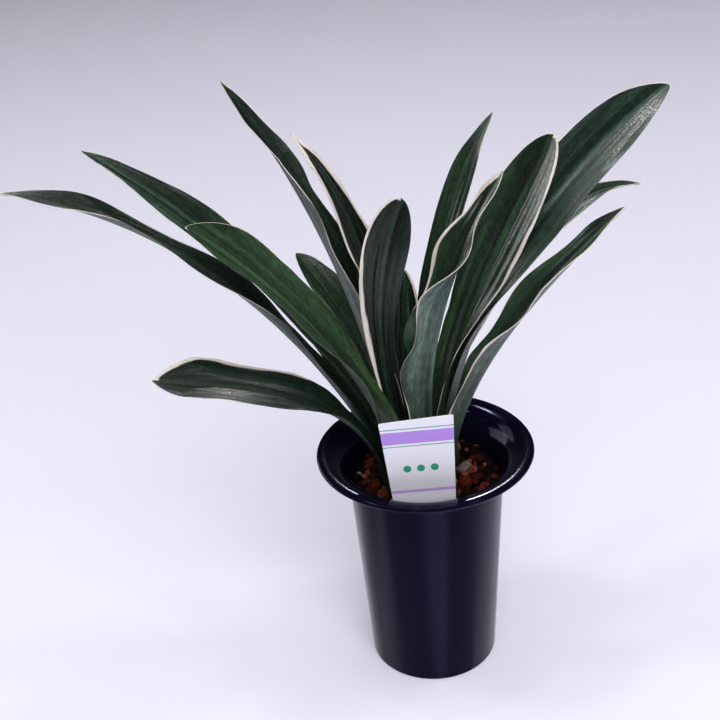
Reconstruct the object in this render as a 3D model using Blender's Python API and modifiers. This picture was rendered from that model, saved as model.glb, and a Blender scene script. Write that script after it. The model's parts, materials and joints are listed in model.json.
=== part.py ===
"""Potted sacred lily: fifteen cream-edged leaves in a flared black plastic pot.

Lengths below are in millimetres and are turned to metres as each mesh is made. +Z is up, the
origin is on the pot's axis at its underside, and the name stake stands at the front, on -Y.
"""

import math
import random

import bmesh
import bpy
import numpy as np
from mathutils import Vector

MM = 0.001
CLEARANCE = 0.3  # left between pieces that touch

# Pot: a tapered wall that opens into a wide trumpet rim
POT_HEIGHT = 170.0
RIM_RADIUS = 75.0
BASE_RADIUS = 45.5
NECK_RADIUS = 53.8  # outside of the wall, where the rim starts to open
NECK_HEIGHT = 149.0
WALL = 1.8
FLOOR = 2.6
FLOOR_CORNER = 2.0  # slope between the floor and the wall, inside
LIP_RADIUS = 1.5  # round edge of the rim
FOOT_RADIUS = 1.6  # round edge of the base
RIM_STEPS = 7
EDGE_STEPS = 3
POT_SIDES = 64
DRAIN_HOLES = 6
DRAIN_DIAMETER = 8.0
DRAIN_CIRCLE = 28.0
DRAIN_SIDES = 16

# Bed of red pumice
BED_HEIGHT = 145.0  # level of the hollows between the stones
STONE_RELIEF = 5.0
STONE_PITCH = 10.0
STONE_SHIFT = 2.5  # how far a stone may lie from its place in the grid
LOWEST_STONE = 0.55  # of the full relief
STONE_SHOULDER = 0.35  # how steeply a stone stands up from the crease round it
BED_RINGS = 24
BED_SIDES = 108
BED_SEED = 7

# Rootstock: a short oval stump that carries every leaf, in a plain hole in the bed
STUMP_CENTRE = (-3.0, 2.5)
STUMP_HALF_SIZE = (38.5, 36.5)
STUMP_TOP = 142.4
STUMP_DEPTH = 45.0
STUMP_TAPER = 0.62  # foot size over top size
STUMP_SIDES = 40

# Leaves: U-shaped at the base, opening to a shallow channel, with a waved edge
LEAF_BASE_HEIGHT = 143.0
LEAF_THICKNESS = 1.0
LEAF_STATIONS = 26
LEAF_COLUMNS = 4

# Each leaf: its foot on the stump, the heading in degrees of the upright plane that it arches
# in (0 is +X, 90 is +Y), two points on its midrib and its tip, as (reach, height) or (reach,
# height, side), and the width. What a row leaves out is in LEAF_USUAL.
LEAF_USUAL = {
    "face": None,  # heading of its upper side at the base; None is towards the plant's middle
    "base_width": 0.5,  # share of the full width at the base
    "widens": (0.0, 0.7),  # where along it the width grows to the full one
    "widest": 0.7,  # where it starts to narrow
    "tip_shape": 2.2,  # larger keeps it wide for longer
    "tip_round": 0.8,  # smaller makes the tip blunter
    "base_fold": 50,  # degrees that each half stands up at the base
    "fold": 18,  # and further out
    "opens": (0, 0.75),  # where it goes from the one to the other
    "tip_fold": None,  # degrees near the tip, where they differ
    "flattens": (0.6, 0.8),  # where it goes to them
    "twist": (0, 0, 0),  # degrees of turn about its midrib
    "twist_at": (0.3, 0.6, 1.0),  # where along it those three turns are reached
    "wave": 2.0,  # height of the waves in its edges
    "waves": 3,  # how many there are along it
    "phase": 0.0,
    "lag": 0.31,  # the two edges don't wave together
}
LEAVES = {
    "leaf_low_left": {
        "foot": (-29, -10), "heading": 187, "points": ((37, 212), (92, 236), (146, 248)),
        "base_fold": 30, "base_width": 0.4, "width": 43, "widens": (0.15, 0.7), "widest": 0.76,
        "tip_shape": 2.4, "tip_round": 0.85, "fold": 14, "opens": (0.1, 0.75),
        "twist": (0, -8, -20), "wave": 2.5, "waves": 2.2, "phase": 0.2,
    },
    "leaf_long_left": {
        "foot": (-22, 1), "heading": 181, "points": ((36, 219), (151, 340), (233, 372)),
        "width": 27, "widest": 0.75, "tip_shape": 2.6, "fold": 20, "twist": (0, 2, 2), "wave": 3.0,
        "waves": 2.9, "phase": 0.7,
    },
    "leaf_back_left": {
        "foot": (-19, 1), "heading": 176, "points": ((49, 248), (122, 341), (186, 391)),
        "width": 33, "widest": 0.6, "twist": (0, -15, -20), "waves": 2.6, "phase": 0.4,
    },
    "leaf_broad_left": {
        "foot": (-15, -19), "heading": 196, "face": -65,
        "points": ((37, 256), (82, 320), (123, 363)), "width": 48, "base_width": 0.5,
        "widens": (0.1, 0.75), "widest": 0.72, "tip_shape": 2.6, "tip_round": 0.8, "base_fold": 24,
        "fold": 23, "twist": (0, -20, -28), "waves": 2.3, "phase": 0.1,
    },
    "leaf_small_back_left": {
        "foot": (-27, 29), "heading": 140, "face": -20, "points": ((16, 226), (40, 259), (74, 287)),
        "width": 28, "tip_shape": 3.5, "wave": 1.5,
    },
    "leaf_tall_left": {
        "foot": (-18, 19), "heading": 170, "face": 0,
        "points": ((28, 273), (63.5, 363), (100, 424)), "width": 31, "widens": (0.0, 0.5),
        "widest": 0.5, "tip_shape": 1.7, "base_fold": 50, "fold": 42, "tip_fold": 24,
        "flattens": (0.8, 0.92), "twist": (-6, -2, -38), "twist_at": (0.3, 0.8, 0.9), "wave": 1.8,
        "waves": 4.4, "phase": 0.75, "lag": 0.51,
    },
    "leaf_upright_left": {
        "foot": (-8, 19), "heading": 165, "face": 0, "points": ((20, 256), (38, 335), (71, 388)),
        "width": 33, "widens": (0.0, 0.5), "widest": 0.5, "tip_shape": 1.5, "tip_round": 1.0,
        "base_fold": 45, "fold": 24, "tip_fold": 12, "flattens": (0.5, 0.8), "twist": (0, -12, -48),
        "wave": 2.2, "waves": 3.2, "phase": 0.3,
    },
    "leaf_centre_broad": {
        "foot": (-8, -1), "heading": 100, "face": -70,
        "points": ((7, 246, 17), (11, 301, 13), (22, 345, -5)), "width": 31, "base_width": 0.36,
        "widens": (0.3, 0.85), "widest": 0.8, "tip_shape": 2.6, "tip_round": 0.6, "base_fold": 40,
        "fold": 12, "wave": 1.2, "waves": 2.0, "phase": 0.5,
    },
    "leaf_centre_small": {
        "foot": (7, 16.5), "heading": 70, "face": -110,
        "points": ((0, 225, 14), (6, 262, 17), (12, 289, 19)), "width": 20, "tip_shape": 3,
        "base_fold": 40, "wave": 1.2,
    },
    "leaf_tall_back": {
        "foot": (6, 24), "heading": 60, "face": -120,
        "points": ((9, 251, 3), (35, 330, -5), (81, 377, -12)), "width": 21, "widest": 0.65,
        "tip_shape": 2.0, "base_fold": 40, "waves": 2.8, "phase": 0.6,
    },
    "leaf_front_grey": {
        "foot": (11, -2), "heading": 5, "points": ((-2, 237), (15, 302), (46, 367)), "width": 40,
        "base_width": 0.5, "widens": (0.0, 0.4), "widest": 0.6, "tip_shape": 1.9, "base_fold": 72,
        "fold": 26, "opens": (0.5, 0.8), "twist": (-8, 0, 32), "wave": 3.5, "waves": 3.8,
        "phase": 0.9, "lag": 0.52,
    },
    "leaf_big_right": {
        "foot": (15, -2), "heading": 22, "points": ((10, 244), (41, 309), (82, 379)), "width": 44,
        "base_width": 0.3, "widens": (0.0, 0.85), "widest": 0.74, "tip_shape": 2.4,
        "tip_round": 0.6, "twist": (0, 25, 25), "waves": 2.4, "phase": 0.2,
    },
    "leaf_long_right": {
        "foot": (20, 0), "heading": 28, "points": ((19, 252), (83, 334), (172, 391)), "width": 46,
        "base_width": 0.4, "widest": 0.7, "tip_shape": 2.4, "tip_round": 0.7, "fold": 24,
        "twist": (0, 32, 24), "waves": 3.0, "phase": 0.15,
    },
    "leaf_thin_back_right": {
        "foot": (25, 20), "heading": 40, "face": -150, "points": ((22, 250), (88, 296), (186, 300)),
        "width": 30, "widest": 0.75, "tip_shape": 1.8, "waves": 3.3, "phase": 0.45,
    },
    "leaf_low_right": {
        "foot": (17, -15.5), "heading": 356, "points": ((27, 241), (64, 295), (111, 349)),
        "width": 31, "base_width": 0.65, "tip_shape": 1.8, "base_fold": 60, "fold": 26,
        "opens": (0.2, 0.9), "twist": (-10, 14, 8), "waves": 3.6, "phase": 0.55,
    },
}

# Name stake: a thin plastic plate with square shoulders at the top and a point in the bed
STAKE_TOP_WIDTH = 48.5
STAKE_BED_WIDTH = 39.2
STAKE_TOP_HEIGHT = 220.0
STAKE_SHOULDER_HEIGHT = 136.0  # below this it narrows to its point
STAKE_POINT_HEIGHT = 92.0
STAKE_POINT_WIDTH = 3.0
STAKE_THICKNESS = 0.9
STAKE_CORNER = 1.0
STAKE_PLACE = (-1.2, -45.0)  # where its middle line meets BED_HEIGHT
STAKE_LEAN = math.radians(2.9)  # its top leans to -X
STAKE_TURN = math.radians(2.6)  # its top edge isn't square to its length

COLOURS = {
    "pot": (0.012, 0.011, 0.020),
    "bed": (0.150, 0.052, 0.028),
    "stump": (0.300, 0.230, 0.110),
    "leaf": (0.022, 0.068, 0.028),
    "stake": (0.800, 0.790, 0.830),
}


def clear_scene():
    for thing in list(bpy.data.objects):
        bpy.data.objects.remove(thing, do_unlink=True)


def new_collection(name, hidden=False):
    collection = bpy.data.collections.new(name)
    collection.hide_render = hidden
    bpy.context.scene.collection.children.link(collection)
    return collection


def new_material(name, colour, roughness):
    material = bpy.data.materials.new(name)
    material.use_nodes = True
    shader = material.node_tree.nodes["Principled BSDF"]
    shader.inputs["Base Color"].default_value = (*colour, 1.0)
    shader.inputs["Roughness"].default_value = roughness
    shader.inputs["Metallic"].default_value = 0.0
    material.diffuse_color = (*colour, 1.0)
    return material


def object_from(bm, name, collection, material=None, smooth_below=math.radians(40)):
    """A bmesh in millimetres becomes an object in metres."""
    bmesh.ops.scale(bm, vec=(MM, MM, MM), verts=bm.verts)
    mesh = bpy.data.meshes.new(name)
    bm.to_mesh(mesh)
    bm.free()
    mesh.shade_smooth()
    mesh.set_sharp_from_angle(angle=smooth_below)
    thing = bpy.data.objects.new(name, mesh)
    collection.objects.link(thing)
    if material:
        mesh.materials.append(material)
    return thing


def as_cutter(thing):
    thing.hide_render = True
    thing.display_type = "WIRE"
    return thing


def cut(thing, cutter, name):
    boolean = thing.modifiers.new(name, "BOOLEAN")
    boolean.operation = "DIFFERENCE"
    boolean.solver = "EXACT"
    boolean.object = cutter


def turned(profile, name, collection, material, sides):
    """A profile of (radius, height) that starts and ends on the axis, turned about Z."""
    bm = bmesh.new()
    points = [bm.verts.new((radius, 0.0, height)) for radius, height in profile]
    for first, second in zip(points, points[1:]):
        bm.edges.new((first, second))
    thing = object_from(bm, name, collection, material)
    screw = thing.modifiers.new("Turn", "SCREW")
    screw.axis = "Z"
    screw.steps = sides
    screw.render_steps = sides
    screw.use_merge_vertices = True
    screw.merge_threshold = 0.00001
    screw.use_smooth_shade = True
    return thing


def arc(centre, half_size, start, end, steps):
    """Points on an ellipse, from one angle in degrees to another."""
    angles = np.radians(np.linspace(start, end, steps + 1))
    return [
        (centre[0] + half_size[0] * math.cos(angle), centre[1] + half_size[1] * math.sin(angle))
        for angle in angles
    ]


# Pot


def wall_radius(height, inset=0.0):
    """Outside radius of the straight wall at a height, or that far inside it."""
    return BASE_RADIUS + (NECK_RADIUS - BASE_RADIUS) * height / NECK_HEIGHT - inset


def pot_profile():
    """Up the inside from the floor, over the lip, and down the outside to the base."""
    lip_centre = (RIM_RADIUS - LIP_RADIUS, POT_HEIGHT - LIP_RADIUS)
    rim_centre = (lip_centre[0] - 1.0, NECK_HEIGHT)
    inside = (rim_centre[0] - wall_radius(NECK_HEIGHT, WALL), POT_HEIGHT - NECK_HEIGHT)
    outside = (rim_centre[0] - NECK_RADIUS, POT_HEIGHT - 2 * LIP_RADIUS - NECK_HEIGHT)
    foot_centre = (BASE_RADIUS - FOOT_RADIUS, FOOT_RADIUS)
    profile = [(0.0, FLOOR), (wall_radius(FLOOR, WALL) - FLOOR_CORNER, FLOOR)]
    profile.append((wall_radius(FLOOR + FLOOR_CORNER, WALL), FLOOR + FLOOR_CORNER))
    profile += arc(rim_centre, inside, 180, 90, RIM_STEPS)
    profile += arc(lip_centre, (LIP_RADIUS, LIP_RADIUS), 90, -90, 2 * EDGE_STEPS)
    profile += arc(rim_centre, outside, 90, 180, RIM_STEPS)
    profile += arc(foot_centre, (FOOT_RADIUS, FOOT_RADIUS), 0, -90, EDGE_STEPS)
    profile.append((0.0, 0.0))
    return profile


def drain_cutter(cutters):
    """One mesh of round pegs, which leave the drainage holes in the floor."""
    bm = bmesh.new()
    radius = DRAIN_DIAMETER / 2
    for step in range(DRAIN_HOLES):
        turn = 2 * math.pi * (step + 0.5) / DRAIN_HOLES
        made = bmesh.ops.create_cone(
            bm, cap_ends=True, segments=DRAIN_SIDES, radius1=radius, radius2=radius, depth=4 * FLOOR
        )
        place = Vector((DRAIN_CIRCLE * math.cos(turn), DRAIN_CIRCLE * math.sin(turn), 0.0))
        bmesh.ops.translate(bm, verts=made["verts"], vec=place)
    return as_cutter(object_from(bm, "drain_pegs", cutters))


def make_pot(parts, cutters):
    plastic = new_material("black_plastic", COLOURS["pot"], 0.25)
    pot = turned(pot_profile(), "pot", parts, plastic, POT_SIDES)
    cut(pot, drain_cutter(cutters), "Drainage")


# Bed, stump and the holes that the bed leaves


def stone_centres():
    """Places of the stones: a triangular grid, each stone shifted by a seeded draw."""
    draw = random.Random(BED_SEED)
    rows = math.ceil(RIM_RADIUS / STONE_PITCH)
    centres = []
    for row in range(-rows, rows + 1):
        for column in range(-rows, rows + 1):
            x = (column + 0.5 * (row % 2)) * STONE_PITCH + draw.uniform(-STONE_SHIFT, STONE_SHIFT)
            y = row * STONE_PITCH * math.sqrt(0.75) + draw.uniform(-STONE_SHIFT, STONE_SHIFT)
            centres.append((x, y, draw.uniform(LOWEST_STONE, 1.0)))
    return np.array(centres)


def bed_surface(x, y, centres):
    """Height of the bed: each stone is a dome over its own cell, with a crease between cells."""
    distances = np.hypot(centres[:, 0] - x, centres[:, 1] - y)
    nearest, second = np.argsort(distances)[:2]
    across = distances[nearest] / (distances[nearest] + distances[second])
    dome = math.sqrt(max(0.0, 1.0 - (2.0 * across) ** 2))
    shoulder = min(1.0, dome / STONE_SHOULDER)
    return BED_HEIGHT + STONE_RELIEF * centres[nearest, 2] * shoulder * (1 + dome) / 2


def make_bed(parts, cutters):
    """The pumice fills the pot to 25 mm below its rim, and its top is raised into stones."""
    corner = FLOOR_CORNER + CLEARANCE
    bottom_radius = wall_radius(FLOOR, WALL) - corner
    top_radius = wall_radius(BED_HEIGHT, WALL + CLEARANCE)
    bm = bmesh.new()
    bmesh.ops.create_circle(bm, cap_ends=True, segments=BED_SIDES, radius=bottom_radius)
    bmesh.ops.translate(bm, verts=bm.verts, vec=(0.0, 0.0, FLOOR + CLEARANCE))
    ring = list(bm.edges)
    rings = [(wall_radius(FLOOR + corner, WALL + CLEARANCE), FLOOR + corner + CLEARANCE)]
    rings.append((top_radius, BED_HEIGHT))
    rings += [(top_radius * (1 - step / BED_RINGS), BED_HEIGHT) for step in range(1, BED_RINGS)]
    top = []
    for radius, height in rings:
        made = bmesh.ops.extrude_edge_only(bm, edges=ring)["geom"]
        verts = [part for part in made if isinstance(part, bmesh.types.BMVert)]
        ring = [part for part in made if isinstance(part, bmesh.types.BMEdge)]
        for vert in verts:
            turn = math.atan2(vert.co.y, vert.co.x)
            vert.co = (radius * math.cos(turn), radius * math.sin(turn), height)
        if height == BED_HEIGHT and radius < top_radius:
            top += verts
    bmesh.ops.edgeloop_fill(bm, edges=ring)
    centres = stone_centres()
    for vert in top:
        vert.co.z = bed_surface(vert.co.x, vert.co.y, centres)
    bmesh.ops.recalc_face_normals(bm, faces=bm.faces)
    bed = object_from(bm, "pumice_bed", parts, new_material("red_pumice", COLOURS["bed"], 0.9))
    hole = stump("stump_hole", cutters, grow=CLEARANCE, rise=POT_HEIGHT - STUMP_TOP)
    slot = stake_plate("stake_slot", cutters, grow=CLEARANCE)
    cut(bed, as_cutter(hole), "Stump hole")
    cut(bed, as_cutter(slot), "Stake slot")


def stump(name, collection, material=None, grow=0.0, rise=0.0):
    """A tapered oval stump, or the hole for it: grown all round, and carried up by rise."""
    depth = STUMP_DEPTH + grow
    slope = (1.0 - STUMP_TAPER) / STUMP_DEPTH
    bottom_scale = 1.0 - slope * depth
    top_scale = 1.0 + slope * rise
    bm = bmesh.new()
    bmesh.ops.create_cone(
        bm, cap_ends=True, segments=STUMP_SIDES, radius1=bottom_scale, radius2=top_scale, depth=depth + rise
    )
    for vert in bm.verts:
        scale = math.hypot(vert.co.x, vert.co.y)
        for axis in (0, 1):
            vert.co[axis] *= STUMP_HALF_SIZE[axis] + grow / scale
        vert.co.x += STUMP_CENTRE[0]
        vert.co.y += STUMP_CENTRE[1]
        vert.co.z += STUMP_TOP + (rise - depth) / 2
    return object_from(bm, name, collection, material)


# Name stake


def stake_outline(grow):
    """Half-width by height above the point, mirrored into a closed outline with round corners."""
    point = STAKE_POINT_HEIGHT - BED_HEIGHT
    shoulder = STAKE_SHOULDER_HEIGHT - BED_HEIGHT
    top = STAKE_TOP_HEIGHT - BED_HEIGHT
    half_shoulder = STAKE_BED_WIDTH / 2 + grow
    half_top = STAKE_TOP_WIDTH / 2 + grow
    corner = (half_top - STAKE_CORNER, top + grow - STAKE_CORNER)
    side = [(STAKE_POINT_WIDTH / 2 + grow, point - grow), (half_shoulder, shoulder)]
    side += arc(corner, (STAKE_CORNER, STAKE_CORNER), 0, 90, EDGE_STEPS)
    tilted = side + [(-x, y) for x, y in reversed(side)]
    return [(x, y + x * math.tan(STAKE_TURN) * max(0.0, y) / top) for x, y in tilted]


def stake_plate(name, collection, material=None, grow=0.0):
    """A flat outline with thickness, stood up in the bed."""
    curve = bpy.data.curves.new(name, "CURVE")
    curve.dimensions = "2D"
    curve.fill_mode = "BOTH"
    curve.extrude = (STAKE_THICKNESS / 2 + grow) * MM
    outline = stake_outline(grow)
    spline = curve.splines.new("POLY")
    spline.points.add(len(outline) - 1)
    for point, (x, y) in zip(spline.points, outline):
        point.co = (x * MM, y * MM, 0.0, 1.0)
    spline.use_cyclic_u = True
    flat = bpy.data.objects.new(name + "_outline", curve)
    collection.objects.link(flat)
    graph = bpy.context.evaluated_depsgraph_get()
    mesh = bpy.data.meshes.new_from_object(flat.evaluated_get(graph))
    bpy.data.objects.remove(flat, do_unlink=True)
    bm = bmesh.new()
    bm.from_mesh(mesh)
    bpy.data.meshes.remove(mesh)
    bmesh.ops.remove_doubles(bm, verts=bm.verts, dist=0.000001)
    bmesh.ops.scale(bm, vec=(1 / MM, 1 / MM, 1 / MM), verts=bm.verts)
    plate = object_from(bm, name, collection, material)
    plate.rotation_euler = (math.radians(90), -STAKE_LEAN, 0.0)
    plate.location = (STAKE_PLACE[0] * MM, STAKE_PLACE[1] * MM, BED_HEIGHT * MM)
    return plate


# Leaves


def smooth_step(start, end, value):
    part = np.clip((value - start) / (end - start), 0.0, 1.0)
    return part * part * (3.0 - 2.0 * part)


def midrib(leaf, along):
    """Points on the midrib: the cubic Bezier curve through the foot, the two points and the tip."""
    turn = math.radians(leaf["heading"])
    out = np.array([math.cos(turn), math.sin(turn), 0.0])
    aside = np.array([-math.sin(turn), math.cos(turn), 0.0])
    foot = np.array([*leaf["foot"], LEAF_BASE_HEIGHT])
    on_curve = [foot]
    for reach, height, *side in leaf["points"]:
        place = np.array([foot[0], foot[1], height]) + reach * out
        on_curve.append(place + (side[0] if side else 0.0) * aside)
    chords = np.cumsum([np.linalg.norm(b - a) for a, b in zip(on_curve, on_curve[1:])])
    at = chords[:2] / chords[2]
    ends = np.array([(1 - t) ** 3 * on_curve[0] + t**3 * on_curve[3] for t in at])
    weights = np.array([[3 * t * (1 - t) ** 2, 3 * t * t * (1 - t)] for t in at])
    handles = np.linalg.solve(weights, np.array(on_curve[1:3]) - ends)
    t = np.linspace(0.0, 1.0, 201)[:, None]
    curve = (1 - t) ** 3 * on_curve[0] + 3 * t * (1 - t) ** 2 * handles[0]
    curve = curve + 3 * t * t * (1 - t) * handles[1] + t**3 * on_curve[3]
    length = np.concatenate([[0.0], np.cumsum(np.linalg.norm(np.diff(curve, axis=0), axis=1))])
    wanted = along * length[-1]
    points = np.stack([np.interp(wanted, length, curve[:, axis]) for axis in range(3)], axis=1)
    tangents = np.gradient(curve, axis=0)
    tangents = np.stack([np.interp(wanted, length, tangents[:, axis]) for axis in range(3)], axis=1)
    return points, tangents / np.linalg.norm(tangents, axis=1)[:, None]


def leaf_frame(leaf, along, tangents):
    """Across and upper-face directions at each station, from where the leaf faces and its twist."""
    own = leaf["heading"] + 180
    face = leaf["face"]
    if face is None:
        face = 0 if math.cos(math.radians(leaf["heading"])) < 0 else 180
    change = (own - face + 180) % 360 - 180
    facing = np.radians(face + change * smooth_step(0.0, 0.5, along))
    across = np.stack([np.sin(facing), -np.cos(facing), np.zeros_like(facing)], axis=1)
    across -= np.sum(across * tangents, axis=1)[:, None] * tangents
    across /= np.linalg.norm(across, axis=1)[:, None]
    upper = np.cross(tangents, across)
    start, middle, end = leaf["twist"]
    twist = np.radians(np.interp(along, leaf["twist_at"], [start, middle, end]))[:, None]
    turned_across = across * np.cos(twist) + upper * np.sin(twist)
    turned_upper = upper * np.cos(twist) - across * np.sin(twist)
    return turned_across, turned_upper


def fold_angle(leaf, along):
    """Degrees that each half stands up from flat: deep at the base, shallower outwards."""
    fold = leaf["base_fold"] + (leaf["fold"] - leaf["base_fold"]) * smooth_step(*leaf["opens"], along)
    tip_fold = leaf["fold"] if leaf["tip_fold"] is None else leaf["tip_fold"]
    return fold + (tip_fold - leaf["fold"]) * smooth_step(*leaf["flattens"], along)


def half_width(leaf, along):
    width = leaf["base_width"] + (1 - leaf["base_width"]) * smooth_step(*leaf["widens"], along)
    past = np.clip((along - leaf["widest"]) / (1 - leaf["widest"]), 0.0, 1.0)
    return leaf["width"] / 2 * width * (1 - past ** leaf["tip_shape"]) ** leaf["tip_round"]


def leaf_points(leaf, stations, columns):
    """Grid of points on the middle of the blade: stations along it, columns across it."""
    along = np.linspace(0.0, 1.0, stations + 1)
    points, tangents = midrib(leaf, along)
    across, upper = leaf_frame(leaf, along, tangents)
    half = half_width(leaf, along)
    fold = np.radians(fold_angle(leaf, along))
    waved = leaf["wave"] * smooth_step(0.15, 0.45, along) * (1 - smooth_step(0.85, 1.0, along))
    grid = np.empty((stations + 1, columns + 1, 3))
    for column, side in enumerate(np.linspace(-1.0, 1.0, columns + 1)):
        lag = leaf["lag"] if side > 0 else 0.0
        wave = waved * np.sin(2 * math.pi * (leaf["waves"] * along + leaf["phase"] + lag)) * side**2
        outward = side * half * np.cos(fold)
        rise = abs(side) * half * np.sin(fold) + wave
        grid[:, column] = points + across * outward[:, None] + upper * rise[:, None]
    grid[0, :, 2] = LEAF_BASE_HEIGHT  # cut square where it leaves the stump
    return grid


def make_leaf(name, leaf, parts, material):
    """A flat grid bent into the blade, split into triangles, then given its thickness."""
    bm = bmesh.new()
    bmesh.ops.create_grid(bm, x_segments=LEAF_COLUMNS, y_segments=LEAF_STATIONS, size=0.5)
    blade = leaf_points(leaf, LEAF_STATIONS, LEAF_COLUMNS)
    for vert in bm.verts:
        column = round((vert.co.x + 0.5) * LEAF_COLUMNS)
        station = round((vert.co.y + 0.5) * LEAF_STATIONS)
        vert.co = blade[station, column]
    bmesh.ops.remove_doubles(bm, verts=bm.verts, dist=0.01)
    bmesh.ops.triangulate(bm, faces=bm.faces)
    thing = object_from(bm, name, parts, material)
    thicken = thing.modifiers.new("Thickness", "SOLIDIFY")
    thicken.thickness = LEAF_THICKNESS * MM
    thicken.offset = 0.0
    thicken.use_even_offset = True


def main():
    clear_scene()
    parts = new_collection("potted_sacred_lily")
    cutters = new_collection("cutters", hidden=True)
    make_pot(parts, cutters)
    make_bed(parts, cutters)
    stump("rootstock", parts, new_material("rootstock_skin", COLOURS["stump"], 0.7))
    leaf_skin = new_material("waxy_leaf", COLOURS["leaf"], 0.3)
    for name, row in LEAVES.items():
        make_leaf(name, LEAF_USUAL | row, parts, leaf_skin)
    stake_plate("name_stake", parts, new_material("white_plastic", COLOURS["stake"], 0.35))


main()
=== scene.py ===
# %% [markdown]
# # A potted sacred lily, dressed
#
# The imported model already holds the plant's true shape and size: a flared pot, a bed of pumice,
# the stump that the leaves grow from, fifteen leaves and a name stake. This lesson loads it as a
# fixed frame and puts the finished pieces in its place: fine leaves with cream margins, a smooth
# glossy pot, single stones and a printed stake. Everything is in metres, and +Z is up.

# %% Load the frame
import json
import math
import random

import bmesh
import bpy
import numpy as np
from mathutils import Euler, Matrix, Vector, noise
from mathutils.kdtree import KDTree

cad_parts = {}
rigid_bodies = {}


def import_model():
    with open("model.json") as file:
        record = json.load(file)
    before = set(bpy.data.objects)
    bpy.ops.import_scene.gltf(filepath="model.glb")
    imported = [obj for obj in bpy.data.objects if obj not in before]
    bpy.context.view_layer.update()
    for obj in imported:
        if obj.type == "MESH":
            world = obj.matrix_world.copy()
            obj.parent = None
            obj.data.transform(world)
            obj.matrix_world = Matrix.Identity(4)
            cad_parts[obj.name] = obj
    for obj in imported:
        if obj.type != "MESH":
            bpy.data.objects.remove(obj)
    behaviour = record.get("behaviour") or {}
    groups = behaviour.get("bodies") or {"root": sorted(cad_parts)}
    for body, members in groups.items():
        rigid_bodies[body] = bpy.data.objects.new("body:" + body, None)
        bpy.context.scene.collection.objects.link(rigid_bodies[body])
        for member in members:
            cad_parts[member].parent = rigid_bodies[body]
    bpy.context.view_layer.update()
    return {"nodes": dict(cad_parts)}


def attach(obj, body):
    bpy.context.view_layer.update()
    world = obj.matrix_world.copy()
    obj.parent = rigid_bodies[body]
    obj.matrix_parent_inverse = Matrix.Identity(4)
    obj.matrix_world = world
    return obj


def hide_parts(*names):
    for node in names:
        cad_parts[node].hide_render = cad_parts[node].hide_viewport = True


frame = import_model()
MM = 0.001
print("frame:", len(frame["nodes"]), "nodes")

# %% [markdown]
# ## Small tools
#
# Colours are written as they would be in a paint program, as sRGB hex values. Cycles works with
# linear light, so one function turns them. One more function adds a shader node with its
# settings and its inputs, where an input is a plain value, another node's output, or a node,
# which stands for its first output. It also sets the stops of a colour ramp, because a ramp
# keeps them away from its sockets.
#
# Nearly every surface of a plant in a pot is a little uneven, so noise is used all through. A
# noise node's scale says how many features fit in a metre, which is hard to picture. Here each
# pattern is asked for by the size of its features in millimetres, along each of three axes.

# %% Colour and node helpers


def linear(code, alpha=1.0):
    """'#rrggbb' in sRGB to linear red, green, blue and alpha."""
    parts = [int(code[i : i + 2], 16) / 255 for i in (1, 3, 5)]
    return (*[p / 12.92 if p <= 0.04045 else ((p + 0.055) / 1.055) ** 2.4 for p in parts], alpha)


def add(tree, kind, inputs=None, stops=None, **settings):
    """A shader node with its settings, its inputs and its ramp stops."""
    made = tree.nodes.new("ShaderNode" + kind)
    for name, value in settings.items():
        setattr(made, name, value)
    for name, value in (inputs or {}).items():
        if isinstance(value, bpy.types.Node):
            value = value.outputs[0]
        if isinstance(value, bpy.types.NodeSocket):
            tree.links.new(value, made.inputs[name])
        else:
            made.inputs[name].default_value = value
    if stops:
        elements = made.color_ramp.elements
        while len(elements) < len(stops):
            elements.new(0.5)
        for element, (position, colour) in zip(elements, stops):
            element.position = position
            element.color = colour if isinstance(colour, tuple) else linear(colour)
    return made


def spans(value, low, high, out_low=0.0, out_high=1.0):
    """Inputs of a Map Range node: a value, the range that it has and the range that it gets."""
    return {"Value": value, "From Min": low, "From Max": high, "To Min": out_low, "To Max": out_high}


def uneven(tree, place, sizes, detail):
    """Noise whose features have these sizes in millimetres along the three axes."""
    per_metre = [1 / (size * MM) for size in sizes]
    spread = add(tree, "Mapping", {"Vector": place, "Scale": per_metre})
    noise_inputs = {"Vector": spread, "Scale": 1.0, "Detail": detail}
    return add(tree, "TexNoise", noise_inputs).outputs["Fac"]


def new_material(name):
    """A node material and its empty tree."""
    material = bpy.data.materials.new(name)
    material.use_nodes = True
    material.node_tree.nodes.clear()
    return material, material.node_tree


def refinish(node, finish):
    """A node of the frame keeps its mesh and gets a finish."""
    materials = frame["nodes"][node].data.materials
    materials.clear()
    materials.append(finish)


def placed(bm, name, materials=()):
    """A bmesh in millimetres becomes an object of the scene in metres."""
    bmesh.ops.scale(bm, vec=(MM, MM, MM), verts=bm.verts)
    mesh = bpy.data.meshes.new(name)
    bm.to_mesh(mesh)
    bm.free()
    for material in materials:
        mesh.materials.append(material)
    thing = bpy.data.objects.new(name, mesh)
    bpy.context.scene.collection.objects.link(thing)
    return thing


def finished(bm, name, materials, replaces=(), smooth=True):
    """A placed bmesh becomes a piece that rides on the root body."""
    piece = placed(bm, name, materials)
    if smooth:
        piece.data.shade_smooth()
    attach(piece, "root")
    if replaces:
        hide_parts(*replaces)
    return piece


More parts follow.
